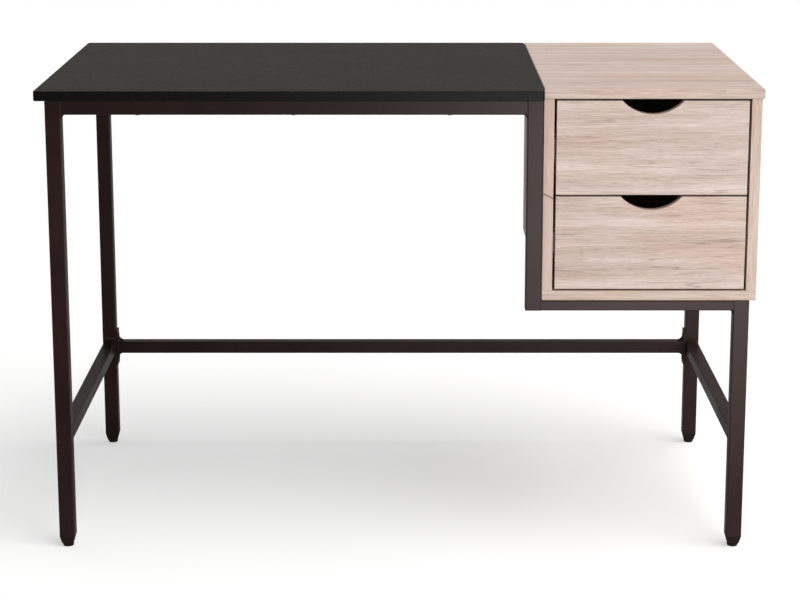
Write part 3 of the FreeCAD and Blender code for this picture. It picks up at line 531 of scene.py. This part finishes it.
def make_welds():
    """Beads in the frame's inner corners, and ground seams where its tubes meet flush."""
    mesh = bmesh.new()
    under, above = (Z, -1), (Z, 1)
    front, behind = (Y, -1), (Y, 1)
    outer = {"left": (X, -1), "right": (X, 1)}
    cornered = (("top_rail_front", X), ("top_rail_rear", X), ("top_rail_left", Y), ("lower_rail_right", Y))
    for at_high in (False, True):
        for rail, axis in cornered:
            weld_end(mesh, rail, axis, at_high, [under], add_bead, BEAD)
        weld_end(mesh, "top_rail_front", X, at_high, [front, behind], add_seam, SEAM)
        weld_end(mesh, "lower_rail_front", X, at_high, [front, behind], add_seam, SEAM)
        weld_end(mesh, "top_rail_rear", X, at_high, [front, behind], add_seam, SEAM)
        weld_end(mesh, "top_rail_left", Y, at_high, [outer["left"], outer["right"]], add_seam, SEAM)
        weld_end(mesh, "lower_rail_right", Y, at_high, [outer["left"], outer["right"]], add_seam, SEAM)
        for side in ("left", "right"):
            weld_end(mesh, f"stretcher_{side}", Y, at_high, [under, above], add_bead, STRETCHER_BEAD)
            weld_end(mesh, f"stretcher_{side}", Y, at_high, outer.values(), add_bead, SIDE_BEAD)
        weld_end(mesh, "stretcher_rear", X, at_high, [under, above], add_bead, STRETCHER_BEAD)
        weld_end(mesh, "stretcher_rear", X, at_high, [front, behind], add_bead, SIDE_BEAD)
    weld_end(mesh, "lower_rail_front", X, True, [under], add_bead, BEAD)
    new_piece("frame_welds", mesh, WELD, "desk")


def hex_socket(turn, reach):
    """Radius of a hexagon's side at an angle, where reach is the radius of its corners."""
    return reach * math.cos(math.pi / 6) / math.cos(turn % (math.pi / 3) - math.pi / 6)


def cross_socket(turn, reach):
    """Radius of a cross recess at an angle: four arms that taper to the middle."""
    off_arm = abs((turn + math.pi / 4) % (math.pi / 2) - math.pi / 4)
    return reach * max(CROSS_MIDDLE, 1 - CROSS_TAPER * max(0, off_arm - CROSS_ARM))


def add_fastener(mesh, seat, way, head, shank, socket):
    """A bolt or screw: a domed head with a recess, which rises from its seat the given way, and a shank.

    head is its radius and height, shank its radius and length, socket its outline, reach and depth."""
    turn_to = Vector(way).to_track_quat("Z", "Y").to_matrix()
    (head_radius, head_height), (shank_radius, shank_length), (outline, reach, depth) = head, shank, socket
    rings = [
        (shank_length, lambda turn: SHANK_TIP * shank_radius),
        (shank_length - shank_radius / 2, lambda turn: shank_radius),
        (0, lambda turn: shank_radius),
        (0, lambda turn: head_radius),
    ]
    for rise, spread in DOME:
        rings.append((-rise * head_height, lambda turn, spread=spread: spread * head_radius))
    rings.append((-head_height, lambda turn: SOCKET_LIP * outline(turn, reach)))
    rings.append((-head_height + SOCKET_LIP_DEPTH * depth, lambda turn: outline(turn, reach)))
    rings.append((-head_height + depth, lambda turn: SOCKET_FLOOR * outline(turn, reach)))
    made = []
    for back, radius in rings:
        ring = []
        for step in range(FASTENER_SIDES):
            turn = 2 * math.pi * step / FASTENER_SIDES
            spoke = Vector((radius(turn) * math.cos(turn), radius(turn) * math.sin(turn), -back))
            ring.append(mesh.verts.new(Vector(seat) + turn_to @ spoke))
        made.append(ring)
    for one, two in zip(made, made[1:]):
        for a in range(FASTENER_SIDES):
            b = (a + 1) % FASTENER_SIDES
            mesh.faces.new((one[a], one[b], two[b], two[a]))
    mesh.faces.new(made[0])
    mesh.faces.new(made[-1])


def solids(node):
    """The box of each separate solid of a CAD node, as its lowest and highest corners."""
    mesh = bmesh.new()
    mesh.from_mesh(frame["nodes"][node].data)
    bmesh.ops.remove_doubles(mesh, verts=mesh.verts, dist=0.01 * MM)
    left, boxes = set(mesh.verts), []
    while left:
        found = [left.pop()]
        for vert in found:
            near = {edge.other_vert(vert) for edge in vert.link_edges} & left
            left -= near
            found.extend(near)
        corners = [[pick(vert.co[axis] for vert in found) for axis in range(3)] for pick in (min, max)]
        boxes.append([Vector(corner) for corner in corners])
    mesh.free()
    return boxes


def make_bolts():
    """The rear stretcher's low button-head bolts, with a hexagon socket each."""
    mesh = bmesh.new()
    for low, high in solids("stretcher_bolts"):
        centre = (low + high) / 2
        inward = 1 if centre.x < 0 else -1
        head_top = high.x if inward > 0 else low.x
        seat = (head_top - inward * BOLT_HEAD, centre.y, centre.z)
        head_radius = (high.z - low.z) / 2
        shank = (BOLT_RADIUS, high.x - low.x - BOLT_HEAD)
        socket = (hex_socket, 0.45 * head_radius, 0.7 * BOLT_HEAD)
        add_fastener(mesh, seat, (inward, 0, 0), (head_radius, BOLT_HEAD), shank, socket)
    bolts = new_piece("socket_head_bolts", mesh, BOLTS, "desk")
    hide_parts("stretcher_bolts")


def make_screws(name, node):
    """Pan-head screws with a cross recess, in place of a CAD node's plain ones that point up."""
    mesh = bmesh.new()
    for low, high in solids(node):
        centre = (low + high) / 2
        head_radius = (high.x - low.x) / 2
        seat = (centre.x, centre.y, low.z + SCREW_HEAD)
        shank = (SCREW_RADIUS, high.z - low.z - SCREW_HEAD)
        socket = (cross_socket, 0.55 * head_radius, 0.6 * SCREW_HEAD)
        add_fastener(mesh, seat, (0, 0, -1), (head_radius, SCREW_HEAD), shank, socket)
    screws = new_piece(name, mesh, SCREWS, "desk")
    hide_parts(node)


finish_nodes()
make_welds()
make_bolts()
make_screws("worktop_pan_screws", "worktop_screws")
make_screws("cabinet_pan_screws", "cabinet_screws")

# ---------------------------------------------------------------- studio


def make_floor():
    """A plain pale floor that glows a little where it is seen, so that the desk's shadows stay faint."""
    f = Finish("floor_paint", roughness=0.9, specular=0.1)
    f.set("Base Color", f.mix(f.noise(1.5, 3), rgb("c1c0bf"), rgb("c4c3c3")))
    f.set("Emission Color", (1, 1, 1, 1))
    seen = f.add("ShaderNodeLightPath").outputs["Is Camera Ray"]
    f.set("Emission Strength", f.math("MULTIPLY", seen, FLOOR_GLOW))
    f.set("Normal", f.bump(f.noise(90, 2), 0.3 * MM, 0.15))
    mesh = bmesh.new()
    bmesh.ops.create_grid(mesh, x_segments=4, y_segments=4, size=FLOOR_SIZE)
    data = bpy.data.meshes.new("floor")
    mesh.to_mesh(data)
    mesh.free()
    data.materials.append(f.material)
    floor = bpy.data.objects.new("floor", data)
    bpy.context.scene.collection.objects.link(floor)


def add_light(name, kind, place, target, power, **settings):
    """A light at a place, turned to a target."""
    light = bpy.data.lights.new(name, kind)
    light.energy = power
    for key, setting in settings.items():
        setattr(light, key, setting)
    lamp = bpy.data.objects.new(name, light)
    lamp.location = place
    lamp.rotation_euler = (Vector(target) - Vector(place)).to_track_quat("-Z", "Y").to_euler()
    bpy.context.scene.collection.objects.link(lamp)
    return lamp


def make_room():
    """White walls: dimmer at the front than at the back, and plain white where they show behind the desk."""
    world = bpy.data.worlds.new("studio")
    world.use_nodes = True
    tree = world.node_tree
    add, link = tree.nodes.new, tree.links.new
    walls = tree.nodes["Background"]
    walls.inputs["Color"].default_value = (1, 1, 1, 1)
    parts = add("ShaderNodeSeparateXYZ")
    link(add("ShaderNodeTexCoord").outputs["Generated"], parts.inputs[0])
    depth = add("ShaderNodeMapRange")
    link(parts.outputs["Y"], depth.inputs["Value"])
    for key, value in WALL_BRIGHTNESS.items():
        depth.inputs[key].default_value = value
    link(depth.outputs[0], walls.inputs["Strength"])
    seen = add("ShaderNodeBackground")
    seen.inputs["Color"].default_value = (1, 1, 1, 1)
    choice = add("ShaderNodeMixShader")
    link(add("ShaderNodeLightPath").outputs["Is Camera Ray"], choice.inputs[0])
    link(walls.outputs[0], choice.inputs[1])
    link(seen.outputs[0], choice.inputs[2])
    link(choice.outputs[0], tree.nodes["World Output"].inputs[0])
    bpy.context.scene.world = world


def shine_on(lamp, materials):
    """Keeps a lamp to the pieces made of some materials, as a screen beside it would."""
    lit = bpy.data.collections.new(f"{lamp.name}_pieces")
    for piece in bpy.context.scene.objects:
        if any(material in materials for material in getattr(piece.data, "materials", ())):
            lit.objects.link(piece)
    lamp.light_linking.receiver_collection = lit


def make_lights():
    """A broad light from above, a lamp at front and back, and one for the dark finishes' sheen alone."""
    add_light("broad", "SUN", (1.6, -1.0, 3.2), (0, 0, 0), 2.35, angle=SUN_SPREAD)
    add_light("key", "AREA", (1.25, -2.4, 0.5), (0.5, -0.2, 0.45), 24, shape="DISK", size=0.9)
    sheen = add_light("sheen", "AREA", (0.5, -1.2, 0.42), (0.38, -0.28, 0.55), 17, shape="DISK", size=0.8)
    sheen.visible_camera = False
    sheen.visible_diffuse = False
    shine_on(sheen, (PAINT, WELD, WORKTOP))
    add_light("rim", "AREA", (2.6, 1.9, 1.4), (0.3, 0, 0.75), 14, shape="DISK", size=1.2)
    bpy.context.scene.view_settings.view_transform = "Standard"


def make_camera():
    """Straight in front of the desk, a little above its tops and tipped down towards it."""
    data = bpy.data.cameras.new("camera")
    data.lens = CAMERA_LENS
    data.shift_x, data.shift_y = CAMERA_SHIFT
    camera = bpy.data.objects.new("camera", data)
    camera.location = CAMERA_PLACE
    camera.rotation_euler = (math.pi / 2 - CAMERA_TIP, 0, 0)
    bpy.context.scene.collection.objects.link(camera)
    bpy.context.scene.camera = camera


make_floor()
make_room()
make_lights()
make_camera()
